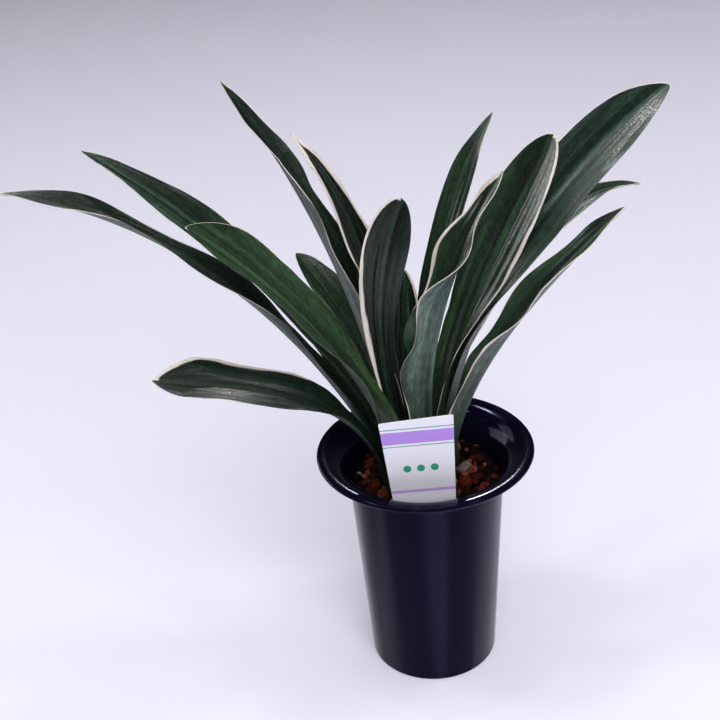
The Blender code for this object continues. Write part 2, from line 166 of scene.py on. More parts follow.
# %% [markdown]
# ## How a leaf of this plant is shaped
#
# A sacred lily leaf starts as a deep U that sheathes its neighbour, opens into a shallow
# channel, and arches outwards to a short point. Its two edges wave a little, out of step with
# each other. It could be sculpted by hand, or drawn as a curve with a bevel, but a curve can't
# open from a U to a channel or wave its edges. A flat grid that is bent by a rule can, and the
# rule is the same one that made the solid model, so each fine leaf lies where its solid is.
#
# The rule in words: a cubic curve runs through the foot, two points and the tip. Each station
# on it gets a direction across the blade and one up from its face, a half width, a fold angle
# and a wave.
#
# Each row of the table is one leaf. Its foot is a place on the rootstock, its heading is the way
# it grows as seen from above, where 0 is the right and 90 is the back, and each of its points is
# a distance from the foot and a height, some with a distance aside. What a row doesn't say is as
# usual. No two leaves have the same green, gloss or margin, so these are in the table too.

# %% Where each leaf grows, in millimetres
LEAF_BASE_HEIGHT = 143.0
LEAF_USUAL = {
    "face": None,  # heading of its upper side at the base; None is towards the plant's middle
    "base_width": 0.5,  # share of the full width at the base
    "widens": (0.0, 0.7),  # where along it the width grows to the full one
    "widest": 0.7,  # where it starts to narrow
    "tip_shape": 2.2,  # larger keeps it wide for longer
    "tip_round": 0.8,  # smaller makes the tip blunter
    "base_fold": 50,  # degrees that each half stands up at the base
    "fold": 18,  # and further out
    "opens": (0, 0.75),  # where it goes from the one to the other
    "tip_fold": None,  # degrees near the tip, where they differ
    "flattens": (0.6, 0.8),  # where it goes to them
    "twist": (0, 0, 0),  # degrees of turn about its midrib
    "twist_at": (0.3, 0.6, 1.0),  # where along it those three turns are reached
    "wave": 2.0,  # height of the waves in its edges
    "waves": 3,  # how many there are along it
    "phase": 0.0,
    "lag": 0.31,  # the two edges don't wave together
    "pleat": 0.25,  # height of the lengthwise pleats
    "cream": (0.45, 0.45),  # width of the pale margin on its first and second edge
    "pales": (0.15, 0.55),  # where along it the margin grows to that
    "foot_cream": (0.12, 0.12),  # share of that width at the foot
    "green": "#1e3521",  # its upper side
    "base_green": "#22351d",  # the same near the foot
    "under": "#46584f",  # its underside
    "gloss": 1.0,  # near its foot, where 1 is the gloss that every leaf has further out
}
LEAVES = {
    "leaf_low_left": {
        "foot": (-29, -10), "heading": 187, "points": ((37, 212), (92, 236), (146, 248)),
        "base_fold": 30, "base_width": 0.4,
        "width": 43, "widens": (0.15, 0.7), "widest": 0.76, "tip_shape": 2.4, "tip_round": 0.85,
        "fold": 14, "opens": (0.1, 0.75), "twist": (0, -8, -20), "wave": 2.5, "waves": 2.2,
        "phase": 0.2, "cream": (2.4, 0.3), "pales": (0.45, 0.6),
        "green": "#152619", "base_green": "#16281b",
    },
    "leaf_long_left": {
        "foot": (-22, 1), "heading": 181, "points": ((36, 219), (151, 340), (233, 372)),
        "width": 27, "widest": 0.75, "tip_shape": 2.6, "fold": 20, "twist": (0, 2, 2), "wave": 3.0,
        "waves": 2.9, "phase": 0.7, "cream": (0.5, 0.35), "green": "#223226",
    },
    "leaf_back_left": {
        "foot": (-19, 1), "heading": 176, "points": ((49, 248), (122, 341), (186, 391)),
        "width": 33, "widest": 0.6, "twist": (0, -15, -20), "waves": 2.6, "phase": 0.4,
        "cream": (0.5, 0.3), "green": "#25372a",
    },
    "leaf_broad_left": {
        "foot": (-15, -19), "heading": 196, "face": -65,
        "points": ((37, 256), (82, 320), (123, 363)), "width": 48, "base_width": 0.5,
        "widens": (0.1, 0.75), "widest": 0.72, "tip_shape": 2.6, "tip_round": 0.8,
        "base_fold": 24, "fold": 23,
        "twist": (0, -20, -28), "waves": 2.3, "phase": 0.1, "cream": (0.5, 0.1), "green": "#2b422b",
        "base_green": "#28391c",
    },
    "leaf_small_back_left": {
        "foot": (-27, 29), "heading": 140, "face": -20, "points": ((16, 226), (40, 259), (74, 287)),
        "width": 28, "tip_shape": 3.5, "wave": 1.5, "cream": (0.5, 0.4), "green": "#223724",
    },
    "leaf_tall_left": {
        "foot": (-18, 19), "heading": 170, "face": 0,
        "points": ((28, 273), (63.5, 363), (100, 424)), "width": 31, "widens": (0.0, 0.5),
        "widest": 0.5, "tip_shape": 1.7, "base_fold": 50, "fold": 42, "tip_fold": 24,
        "flattens": (0.8, 0.92), "twist": (-6, -2, -38), "twist_at": (0.3, 0.8, 0.9), "wave": 1.8,
        "waves": 4.4, "phase": 0.75, "lag": 0.51, "cream": (0.5, 0.5), "green": "#1d2d21",
    },
    "leaf_upright_left": {
        "foot": (-8, 19), "heading": 165, "face": 0, "points": ((20, 256), (38, 335), (71, 388)),
        "width": 33, "widens": (0.0, 0.5), "widest": 0.5, "tip_shape": 1.5, "tip_round": 1.0,
        "base_fold": 45, "fold": 24, "tip_fold": 12, "flattens": (0.5, 0.8), "twist": (0, -12, -48),
        "wave": 2.2, "waves": 3.2, "phase": 0.3, "cream": (2.0, 2.2), "green": "#131d16",
    },
    "leaf_centre_broad": {
        "foot": (-8, -1), "heading": 100, "face": -70,
        "points": ((7, 246, 17), (11, 301, 13), (22, 345, -5)), "width": 31, "base_width": 0.36,
        "widens": (0.3, 0.85), "widest": 0.8, "tip_shape": 2.6, "tip_round": 0.6, "base_fold": 40,
        "fold": 12, "wave": 1.2, "waves": 2.0, "phase": 0.5, "cream": (0.2, 2.6),
        "green": "#16241b", "base_green": "#0f1c14", "gloss": 0.2,
    },
    "leaf_centre_small": {
        "foot": (7, 16.5), "heading": 70, "face": -110,
        "points": ((0, 225, 14), (6, 262, 17), (12, 289, 19)), "width": 20, "tip_shape": 3,
        "base_fold": 40, "wave": 1.2, "cream": (1.8, 0.3), "green": "#1c3020",
    },
    "leaf_tall_back": {
        "foot": (6, 24), "heading": 60, "face": -120,
        "points": ((9, 251, 3), (35, 330, -5), (81, 377, -12)), "width": 21, "widest": 0.65,
        "tip_shape": 2.0, "base_fold": 40, "waves": 2.8, "phase": 0.6, "cream": (0.3, 0.35),
        "green": "#203423", "base_green": "#203423", "gloss": 0.35,
    },
    "leaf_front_grey": {
        "foot": (11, -2), "heading": 5, "points": ((-2, 237), (15, 302), (46, 367)), "width": 40,
        "base_width": 0.5, "widens": (0.0, 0.4), "widest": 0.6, "tip_shape": 1.9, "base_fold": 72,
        "fold": 26, "opens": (0.5, 0.8), "twist": (-8, 0, 32), "wave": 3.5, "waves": 3.8,
        "phase": 0.9, "lag": 0.52, "cream": (0.7, 3.2), "pales": (0.5, 0.75),
        "foot_cream": (0.9, 0.05),
        "green": "#16301a", "base_green": "#16301a", "under": "#5f726a",
    },
    "leaf_big_right": {
        "foot": (15, -2), "heading": 22, "points": ((10, 244), (41, 309), (82, 379)), "width": 44,
        "base_width": 0.3, "widens": (0.0, 0.85), "widest": 0.74, "tip_shape": 2.4,
        "tip_round": 0.6, "twist": (0, 25, 25), "waves": 2.4, "phase": 0.2, "pleat": 0.45,
        "cream": (2.2, 0.7), "pales": (0.45, 0.75), "green": "#1e311f", "base_green": "#26381a",
    },
    "leaf_long_right": {
        "foot": (20, 0), "heading": 28, "points": ((19, 252), (83, 334), (172, 391)), "width": 46,
        "base_width": 0.4, "widest": 0.7, "tip_shape": 2.4, "tip_round": 0.7, "fold": 24,
        "twist": (0, 32, 24), "waves": 3.0, "phase": 0.15, "cream": (0.2, 0.6), "green": "#20362a",
    },
    "leaf_thin_back_right": {
        "foot": (25, 20), "heading": 40, "face": -150, "points": ((22, 250), (88, 296), (186, 300)),
        "width": 30, "widest": 0.75, "tip_shape": 1.8, "waves": 3.3, "phase": 0.45,
        "cream": (0.9, 0.9), "green": "#2b4030",
    },
    "leaf_low_right": {
        "foot": (17, -15.5), "heading": 356, "points": ((27, 241), (64, 295), (111, 349)),
        "width": 31, "base_width": 0.65, "tip_shape": 1.8, "base_fold": 60, "fold": 26,
        "opens": (0.2, 0.9), "twist": (-10, 14, 8), "waves": 3.6, "phase": 0.55,
        "cream": (1.1, 0.5), "foot_cream": (0.8, 0.1),
        "green": "#1f3422", "under": "#56665f",
    },
}
print("leaves:", len(LEAVES))

# %% The rule that bends a flat grid into a blade
CURVE_STEPS = 401
FACE_TURNS = (0.0, 0.5)  # where along it a leaf turns from the way it faces to the way it heads


def smooth_step(start, end, value):
    """0 before the start, 1 after the end, and an easy climb between them."""
    part = np.clip((value - start) / (end - start), 0.0, 1.0)
    return part * part * (3.0 - 2.0 * part)


def midrib(leaf, along):
    """Points and directions on the cubic curve through the foot, the two points and the tip."""
    turn = math.radians(leaf["heading"])
    out = np.array([math.cos(turn), math.sin(turn), 0.0])
    aside = np.array([-math.sin(turn), math.cos(turn), 0.0])
    foot = np.array([*leaf["foot"], LEAF_BASE_HEIGHT])
    on_curve = [foot]
    for reach, height, *side in leaf["points"]:
        place = np.array([foot[0], foot[1], height]) + reach * out
        on_curve.append(place + (side[0] if side else 0.0) * aside)
    chords = np.cumsum([np.linalg.norm(b - a) for a, b in zip(on_curve, on_curve[1:])])
    at = chords[:2] / chords[2]
    ends = np.array([(1 - t) ** 3 * on_curve[0] + t**3 * on_curve[3] for t in at])
    weights = np.array([[3 * t * (1 - t) ** 2, 3 * t * t * (1 - t)] for t in at])
    handles = np.linalg.solve(weights, np.array(on_curve[1:3]) - ends)
    t = np.linspace(0.0, 1.0, CURVE_STEPS)[:, None]
    curve = (1 - t) ** 3 * on_curve[0] + 3 * t * (1 - t) ** 2 * handles[0]
    curve = curve + 3 * t * t * (1 - t) * handles[1] + t**3 * on_curve[3]
    length = np.concatenate([[0.0], np.cumsum(np.linalg.norm(np.diff(curve, axis=0), axis=1))])
    wanted = along * length[-1]
    points = np.stack([np.interp(wanted, length, curve[:, axis]) for axis in range(3)], axis=1)
    slopes = np.gradient(curve, axis=0)
    slopes = np.stack([np.interp(wanted, length, slopes[:, axis]) for axis in range(3)], axis=1)
    return points, slopes / np.linalg.norm(slopes, axis=1)[:, None], length[-1]


def leaf_frame(leaf, along, tangents):
    """Across and upper-face directions at each station, from where the leaf faces and its twist."""
    own = leaf["heading"] + 180
    face = leaf["face"]
    if face is None:
        face = 0 if math.cos(math.radians(leaf["heading"])) < 0 else 180
    change = (own - face + 180) % 360 - 180
    facing = np.radians(face + change * smooth_step(*FACE_TURNS, along))
    across = np.stack([np.sin(facing), -np.cos(facing), np.zeros_like(facing)], axis=1)
    across -= np.sum(across * tangents, axis=1)[:, None] * tangents
    across /= np.linalg.norm(across, axis=1)[:, None]
    upper = np.cross(tangents, across)
    start, middle, end = leaf["twist"]
    twist = np.radians(np.interp(along, leaf["twist_at"], [start, middle, end]))[:, None]
    turned_across = across * np.cos(twist) + upper * np.sin(twist)
    turned_upper = upper * np.cos(twist) - across * np.sin(twist)
    return turned_across, turned_upper


def fold_angle(leaf, along):
    """Degrees that each half stands up from flat: deep at the base, shallower outwards."""
    opened = smooth_step(*leaf["opens"], along)
    fold = leaf["base_fold"] + (leaf["fold"] - leaf["base_fold"]) * opened
    tip_fold = leaf["fold"] if leaf["tip_fold"] is None else leaf["tip_fold"]
    return fold + (tip_fold - leaf["fold"]) * smooth_step(*leaf["flattens"], along)


def half_width(leaf, along):
    """From the midrib to the edge: it grows from the base, then narrows to the tip."""
    width = leaf["base_width"] + (1 - leaf["base_width"]) * smooth_step(*leaf["widens"], along)
    past = np.clip((along - leaf["widest"]) / (1 - leaf["widest"]), 0.0, 1.0)
    return leaf["width"] / 2 * width * (1 - past ** leaf["tip_shape"]) ** leaf["tip_round"]


whole_length = np.array([0.0, 1.0])
lengths = {name: midrib(LEAF_USUAL | row, whole_length)[2] for name, row in LEAVES.items()}
print("leaf lengths:", {name: round(length) for name, length in lengths.items()})

# %% [markdown]
# ## What the fine leaf adds
#
# The solid leaf is a plain fold with waves. The real blade has a rounded channel over its
# midrib, faint pleats along it, small ripples in its edges, and it is thickest at the midrib and
# thin at the margins. The channel, pleats and ripples are added to the rule below, and a
# Solidify modifier with a vertex group gives the thickness. It puts the underside's faces in the
# next material slot, so top and underside can have finishes of their own.
#
# Each vertex also stores where it is on its own blade, in metres, how far it is into the cream
# margin, where 1 is the margin's inner edge, the colours of its upper side and its underside,
# and its gloss. The leaf's finish reads them all, so one finish serves fifteen leaves.

# %% Fine leaf rule, in millimetres and shares
STATIONS = 160
HALF_COLUMNS = 24
MIDRIB_ROUNDING = 0.04  # share of the half width over which the fold is rounded
PLEATS = 2.6  # per half blade
RIPPLE = 0.55
WAVES_GROW = (0.15, 0.45)  # where along the blade the waves in its edges grow
WAVES_FADE = (0.85, 1.0)
DETAIL_GROWS = (0.12, 0.5)  # the same for its pleats and ripples
DETAIL_FADES = (0.8, 1.0)
RIPPLE_STRETCHES = 24
CREAM_STRETCHES = 12
CREAM_WANDER = 0.5  # share by which the margin's width comes and goes
CREAM_LEAST = 0.08
TIP_CREAM_START = 0.3  # the margin goes round the tip, where it is measured along the leaf
TIP_CREAM_SHARE = 0.6
CREAM_SHOWS = (0.1, 0.9)  # a margin narrower than this fades into the green
CREAM_FADE = 1.2
THICKEST = 1.3
BLADE_THICKNESS = 0.62  # share of the thickest, beside the midrib
EDGE_THICKNESS = 0.36  # share of the thickest, at the edge
RIB_SHARE = 0.09  # share of the half width that the thick midrib takes up


def column_sides():
    """Places across the blade from -1 to 1, closer together at the midrib and at the edges."""
    share = (1 - np.cos(np.linspace(0.0, math.pi, HALF_COLUMNS + 1))) / 2
    return np.concatenate([-share[:0:-1], share])


def drift(draw, count, along):
    """A smooth random line from -1 to 1 along the leaf, with this many stretches."""
    values = np.array([draw.uniform(-1, 1) for _ in range(count + 5)])
    place = np.clip(along * count, 0, count) + 2
    left = np.floor(place).astype(int)
    part = smooth_step(0.0, 1.0, place - left)
    return values[left] * (1 - part) + values[left + 1] * part


def fine_leaf(leaf, draw):
    """The blade's points, its own coordinates and how deep each point lies in the cream margin."""
    along = np.linspace(0.0, 1.0, STATIONS + 1)
    points, tangents, length = midrib(leaf, along)
    across, upper = leaf_frame(leaf, along, tangents)
    half = half_width(leaf, along)
    fold = np.radians(fold_angle(leaf, along))
    waved = leaf["wave"] * smooth_step(*WAVES_GROW, along) * (1 - smooth_step(*WAVES_FADE, along))
    grown = smooth_step(*DETAIL_GROWS, along) * (1 - smooth_step(*DETAIL_FADES, along))
    ripples = [drift(draw, RIPPLE_STRETCHES, along) for _ in range(2)]
    creams = [drift(draw, CREAM_STRETCHES, along) for _ in range(2)]
    pale = smooth_step(*leaf["pales"], along)
    from_tip = (1 - along) * length * TIP_CREAM_SHARE + TIP_CREAM_START
    sides = column_sides()
    grid = np.empty((STATIONS + 1, len(sides), 3))
    own = np.empty((STATIONS + 1, len(sides), 2))
    margin = np.empty((STATIONS + 1, len(sides)))
    for column, side in enumerate(sides):
        share = abs(side)
        edge = int(side > 0)
        cycle = leaf["waves"] * along + leaf["phase"] + leaf["lag"] * edge
        wave = waved * np.sin(2 * math.pi * cycle) * side**2
        ripple = RIPPLE * grown * ripples[edge] * share**6
        pleat = leaf["pleat"] * grown * np.cos(2 * math.pi * PLEATS * share) * (1 - share**4)
        rounded = math.hypot(side, MIDRIB_ROUNDING) - MIDRIB_ROUNDING
        rise = rounded * (1 + MIDRIB_ROUNDING) * half * np.sin(fold) + wave + ripple + pleat
        outward = side * half * np.cos(fold)
        grid[:, column] = points + across * outward[:, None] + upper * rise[:, None]
        own[:, column, 0] = side * half
        own[:, column, 1] = along * length
        at_foot = leaf["foot_cream"][edge]
        cream = leaf["cream"][edge] * (1 + CREAM_WANDER * creams[edge])
        cream = cream * (at_foot + (1 - at_foot) * pale)
        from_edge = np.minimum((1 - share) * half, from_tip)
        faint = CREAM_FADE * (1 - smooth_step(*CREAM_SHOWS, cream))
        margin[:, column] = from_edge / np.maximum(cream, CREAM_LEAST) + faint
    grid[0, :, 2] = LEAF_BASE_HEIGHT  # the foot is cut level
    return grid, own, margin


def thickness_share(side):
    """Share of the thickest, by place across the blade from -1 to 1."""
    share = abs(side)
    rib = math.exp(-((share / RIB_SHARE) ** 2))
    blade = BLADE_THICKNESS + (EDGE_THICKNESS - BLADE_THICKNESS) * share**3
    return blade + (1 - blade) * rib


print("points on a leaf:", (STATIONS + 1) * len(column_sides()))

# %% Bend a grid and give it its colours and thickness
LEAF_SEED = 100
LEAF_APART = 0.37  # metres that keep one leaf's noise away from the next one's
GREENS = (0.15, 0.6)  # where along it the foot's green turns to the leaf's own
GLOSS_GROWS = (0.5, 0.9)  # and the foot's gloss to the usual one
FOOT_SHADE = 0.8  # the underside's foot has the upper side's green, darkened by this
FOOT_SHARE = 0.75  # and mixed in by this
MERGED = 0.002  # points nearer than this many millimetres become one


def make_leaf(name, leaf, number, upper_finish, under_finish):
    """A flat grid, bent into the blade, dressed and thickened; it replaces the leaf's solid."""
    grid, own, margin = fine_leaf(leaf, random.Random(LEAF_SEED + number))
    bm = bmesh.new()
    sides = column_sides()
    bmesh.ops.create_grid(bm, x_segments=2 * HALF_COLUMNS, y_segments=STATIONS, size=0.5)
    blade = bm.verts.layers.float_vector.new("blade")
    cream = bm.verts.layers.float.new("margin")
    upper = bm.verts.layers.float_vector.new("green")
    under = bm.verts.layers.float_vector.new("under")
    gloss = bm.verts.layers.float.new("gloss")
    weights = bm.verts.layers.deform.new()
    full, base, below = [Vector(linear(leaf[key])[:3]) for key in ("green", "base_green", "under")]
    for vert in bm.verts:
        column = round((vert.co.x + 0.5) * 2 * HALF_COLUMNS)
        station = round((vert.co.y + 0.5) * STATIONS)
        vert.co = grid[station, column]
        vert[blade] = (*own[station, column] * MM, number * LEAF_APART)
        vert[cream] = margin[station, column]
        grown = float(smooth_step(*GREENS, station / STATIONS))
        vert[upper] = base.lerp(full, grown)
        vert[under] = below.lerp(base * FOOT_SHADE, FOOT_SHARE * (1 - grown))
        waxed = float(smooth_step(*GLOSS_GROWS, station / STATIONS))
        vert[gloss] = leaf["gloss"] + (1 - leaf["gloss"]) * waxed
        vert[weights][0] = thickness_share(sides[column])
    bmesh.ops.remove_doubles(bm, verts=bm.verts, dist=MERGED)
    bmesh.ops.reverse_faces(bm, faces=bm.faces)
    piece = finished(bm, name + "_blade", [upper_finish, under_finish], [name])
    piece.vertex_groups.new(name="thickness")
    thicken = piece.modifiers.new("Thickness", "SOLIDIFY")
    thicken.thickness = THICKEST * MM
    thicken.offset = 0.0
    thicken.use_even_offset = True
    thicken.vertex_group = "thickness"
    thicken.material_offset = 1
    thicken.material_offset_rim = 0
    return piece


# %% [markdown]
# ## The leaf's finish
#
# The real blade is thick, leathery and waxy: a dark green face with fine lengthwise veins, and a
# cream margin where the tissue has no green. A broad, paler band follows the midrib: partly the
# midrib's own paler green and partly a painted sheen streak. The darker green on both sides of it
# is painted shade, where the channel beside the midrib lies in shadow. Tiny bumps break up the
# gloss into a fine sparkle. The underside is duller and greyer, because of a bloom of wax. It could
# be painted by hand, but everything here follows the blade's length, so noise that is stretched
# along the blade's own coordinates draws it all, and one function makes both sides from the
# colours that each vertex holds.
#
# Five shades are laid over the green one after the other: veins, broad bands, flecks, the pale
# band on the midrib with its painted sheen, and the painted shade of the darker flanks. Each is a
# factor, and the colour is scaled by all of them.

# %% Leaf finishes, in millimetres
VEIN_SPACING = 1.0
BAND_SPACING = 6.5  # between broad, soft bands
FLECK_SPACING = 2.4  # between paler and darker flecks
BUMP_SPACING = 1.0  # the surface's fine bumps, drawn coarser than life so that they show
NOISE_APART = 111.11  # along the third axis, on which each leaf has a place of its own
MIDRIB_TINT_AND_SHEEN_BAND = (3.2 * MM, 0.8 * MM)  # from the midrib: where the pale band, its own paler green and a painted sheen, starts and is full
FLANK_SHADE_BAND = (5.0 * MM, 11.0 * MM)  # and where the painted shade of the flank begins to lighten and has ended
OUTER_GAIN = 1.12
CREAM_ENDS = (0.75, 1.15)  # depths between which cream turns to green
CREAM_WOBBLE = 0.7  # how far the veins carry the green into the margin
VEIN_RELIEF = 0.5  # share of the veins in the surface's bumps
BLADE_RELIEF = 0.25


def along_blade(tree, own, across, stretch, detail):
    """Noise with features of one width across the blade, and so many times as long along it."""
    return uneven(tree, own, (across, across * stretch, NOISE_APART), detail)


def leaf_finish(name, layer, rib_tint_and_sheen_gain, flank_shade_gain, creams, roughness, bump, shine):
    """One side of a leaf: veined, banded green and a cream margin under a coat of wax."""
    material, tree = new_material(name)
    own = add(tree, "Attribute", attribute_name="blade").outputs["Vector"]
    depth = add(tree, "Attribute", attribute_name="margin").outputs["Fac"]
    green = add(tree, "Attribute", attribute_name=layer).outputs["Vector"]
    gloss = add(tree, "Attribute", attribute_name="gloss").outputs["Fac"]
    waxed = add(tree, "Math", {0: gloss, 1: shine}, operation="MULTIPLY")
    vein = along_blade(tree, own, VEIN_SPACING, 70, 3.0)
    band = along_blade(tree, own, BAND_SPACING, 25, 2.0)
    fleck = along_blade(tree, own, FLECK_SPACING, 2.5, 3.0)
    grain = along_blade(tree, own, BUMP_SPACING, 1.7, 2.0)
    aside = add(tree, "SeparateXYZ", {"Vector": own}).outputs["X"]
    off_rib = add(tree, "Math", {0: aside}, operation="ABSOLUTE")
    for shade in (  # a noise or a distance, its range, and the gains at the ends of that range
        spans(vein, 0.3, 0.7, 0.72, 1.24),
        spans(band, 0.3, 0.7, 0.5, 1.42),
        spans(fleck, 0.4, 0.7, 0.82, 1.4),
        # the midrib's paler green with a painted sheen streak, then painted shade on the flanks
        # beside it
        spans(off_rib, *MIDRIB_TINT_AND_SHEEN_BAND, 1.0, rib_tint_and_sheen_gain),
        spans(off_rib, *FLANK_SHADE_BAND, flank_shade_gain, OUTER_GAIN),
    ):
        gain = add(tree, "MapRange", shade, interpolation_type="SMOOTHSTEP")
        green = add(tree, "VectorMath", {0: green, "Scale": gain}, operation="SCALE")
    cream = add(tree, "ValToRGB", {"Fac": vein}, stops=[(0.35, creams[0]), (0.65, creams[1])])
    wobble = {0: vein, 1: CREAM_WOBBLE, 2: -CREAM_WOBBLE / 2}
    wobble = add(tree, "Math", wobble, operation="MULTIPLY_ADD")
    depth = add(tree, "Math", {0: depth, 1: wobble}, operation="ADD")
    inside = add(tree, "MapRange", spans(depth, *CREAM_ENDS), interpolation_type="SMOOTHSTEP")
    colour = add(tree, "Mix", {6: cream, 7: green, "Factor": inside}, data_type="RGBA")
    dull = spans(grain, 0.3, 0.7, *roughness)
    dull = add(tree, "MapRange", dull, interpolation_type="SMOOTHSTEP")
    height = add(tree, "Math", {0: vein, 1: VEIN_RELIEF, 2: grain}, operation="MULTIPLY_ADD")
    relief = {"Height": height, "Strength": bump, "Distance": BLADE_RELIEF * MM}
    relief = add(tree, "Bump", relief)
    shader = add(
        tree, "BsdfPrincipled",
        {"Base Color": colour.outputs[2], "Roughness": dull, "IOR": 1.45,
         "Specular IOR Level": waxed, "Normal": relief},
    )
    add(tree, "OutputMaterial", {"Surface": shader})
    return material


# On the face, the pale midrib band (2.6) carries a painted sheen streak and the flanks (0.68)
# painted shade.
waxy_face = leaf_finish(
    "waxy leaf face", "green", 2.6, 0.68, ("#dacdc1", "#efe4dc"), (0.26, 0.46), 0.4, 0.9
)
waxy_underside = leaf_finish(
    "bloomy leaf underside", "under", 1.25, 1.0, ("#d0c4b6", "#e8dcd0"), (0.42, 0.56), 0.25, 0.6
)
print("leaf finishes:", waxy_face.name, "and", waxy_underside.name)

# %% Make the leaves
for number, (leaf_name, row) in enumerate(LEAVES.items()):
    made_leaf = make_leaf(leaf_name, LEAF_USUAL | row, number, waxy_face, waxy_underside)
print("leaf faces:", len(made_leaf.data.polygons), "each side")

# %% [markdown]
# ## The pot
#
# The real pot is blown or moulded from black polypropylene: a tapered wall, a wide rim that
# opens like a trumpet, and a rounded lip. A turned shape is easiest as a profile that is spun
# about its axis. The profile is the solid's own, with many more steps in its curves, because a
# glossy surface shows every facet.

# %% Pot sizes, in millimetres
POT_HEIGHT = 170.0
RIM_RADIUS = 75.0
BASE_RADIUS = 45.5
NECK_RADIUS = 53.8
NECK_HEIGHT = 149.0
WALL = 1.8
FLOOR = 2.6
FLOOR_CORNER = 2.0
LIP_RADIUS = 1.5
LIP_LEDGE = 1.0  # the trumpet's curve ends this far inside the lip's middle
FOOT_RADIUS = 1.6
POT_SIDES = 192
TRUMPET_STEPS = 24
LIP_STEPS = 12
FOOT_STEPS = 6


def arc(centre, half_size, start, end, steps):
    """Points on an ellipse, from one angle in degrees to another."""
    angles = np.radians(np.linspace(start, end, steps + 1))
    return [
        (centre[0] + half_size[0] * math.cos(angle), centre[1] + half_size[1] * math.sin(angle))
        for angle in angles
    ]


def wall_radius(height, inset=0.0):
    """The tapered wall's outer radius at a height, or less by an inset."""
    return BASE_RADIUS + (NECK_RADIUS - BASE_RADIUS) * height / NECK_HEIGHT - inset


def pot_profile():
    """Up the inside from the floor, over the lip, and down the outside to the base."""
    lip_centre = (RIM_RADIUS - LIP_RADIUS, POT_HEIGHT - LIP_RADIUS)
    rim_centre = (lip_centre[0] - LIP_LEDGE, NECK_HEIGHT)
    inside = (rim_centre[0] - wall_radius(NECK_HEIGHT, WALL), POT_HEIGHT - NECK_HEIGHT)
    outside = (rim_centre[0] - NECK_RADIUS, POT_HEIGHT - 2 * LIP_RADIUS - NECK_HEIGHT)
    foot_centre = (BASE_RADIUS - FOOT_RADIUS, FOOT_RADIUS)
    profile = [(0.0, FLOOR), (wall_radius(FLOOR, WALL) - FLOOR_CORNER, FLOOR)]
    profile.append((wall_radius(FLOOR + FLOOR_CORNER, WALL), FLOOR + FLOOR_CORNER))
    profile += arc(rim_centre, inside, 180, 90, TRUMPET_STEPS)
    profile += arc(lip_centre, (LIP_RADIUS, LIP_RADIUS), 90, -90, LIP_STEPS)
    profile += arc(rim_centre, outside, 90, 180, TRUMPET_STEPS)
    profile += arc(foot_centre, (FOOT_RADIUS, FOOT_RADIUS), 0, -90, FOOT_STEPS)
    profile.append((0.0, 0.0))
    return profile


print("points in the pot's profile:", len(pot_profile()))

# %% [markdown]
# ## The pot's finish
#
# Moulded polypropylene isn't a perfect mirror. It sets as it flows, so its gloss comes and goes
# in tall stripes, and its skin has a slow ripple. Black pigment has a cast, violet here, which
# shows in its gleams. One even gloss would be simpler, but on a dark pot nearly all that the eye
# sees is reflection, so the reflection is what gets the detail.

# %% Pot finish, in millimetres
RIPPLE_SIZE = (16.667, 16.667, 71.43)
STRIPE_SIZE = (26.316, 26.316, 833.3)
RIPPLE_RELIEF = 0.4


def glossy_black_plastic():
    """Moulded polypropylene: black with a violet cast, glossy, faintly uneven."""
    material, tree = new_material("glossy black polypropylene")
    place = add(tree, "TexCoord").outputs["Object"]
    ripple = uneven(tree, place, RIPPLE_SIZE, 3.0)
    stripe = uneven(tree, place, STRIPE_SIZE, 1.0)
    gloss = spans(stripe, 0.42, 0.62, 0.07, 0.22)
    gloss = add(tree, "MapRange", gloss, interpolation_type="SMOOTHSTEP")
    rough = add(tree, "MapRange", spans(ripple, 0.3, 0.7, 0.08, 0.14))
    relief = {"Height": ripple, "Strength": 0.08, "Distance": RIPPLE_RELIEF * MM}
    relief = add(tree, "Bump", relief)
    shader = add(
        tree, "BsdfPrincipled",
        {"Base Color": linear("#0d0b1d"), "Roughness": rough, "IOR": 1.49, "Normal": relief,
         "Specular IOR Level": gloss, "Specular Tint": linear("#b4b0ff")},
    )
    add(tree, "OutputMaterial", {"Surface": shader})
    return material


pot_finish = glossy_black_plastic()
print("pot finish:", pot_finish.name)

# %% [markdown]
# ## Spinning and drilling the pot
#
# The profile is spun once about the pot's axis. A ring of pegs cuts the drainage holes through
# a Boolean modifier, which is applied at once, so that the pegs can go. Only edges that bend by
# much stay sharp, such as those of the holes.

# %% Spin the pot and drill it
DRAIN_HOLES = 6
DRAIN_DIAMETER = 8.0
DRAIN_CIRCLE = 28.0
DRAIN_SIDES = 32
SHARP_FROM = math.radians(50)


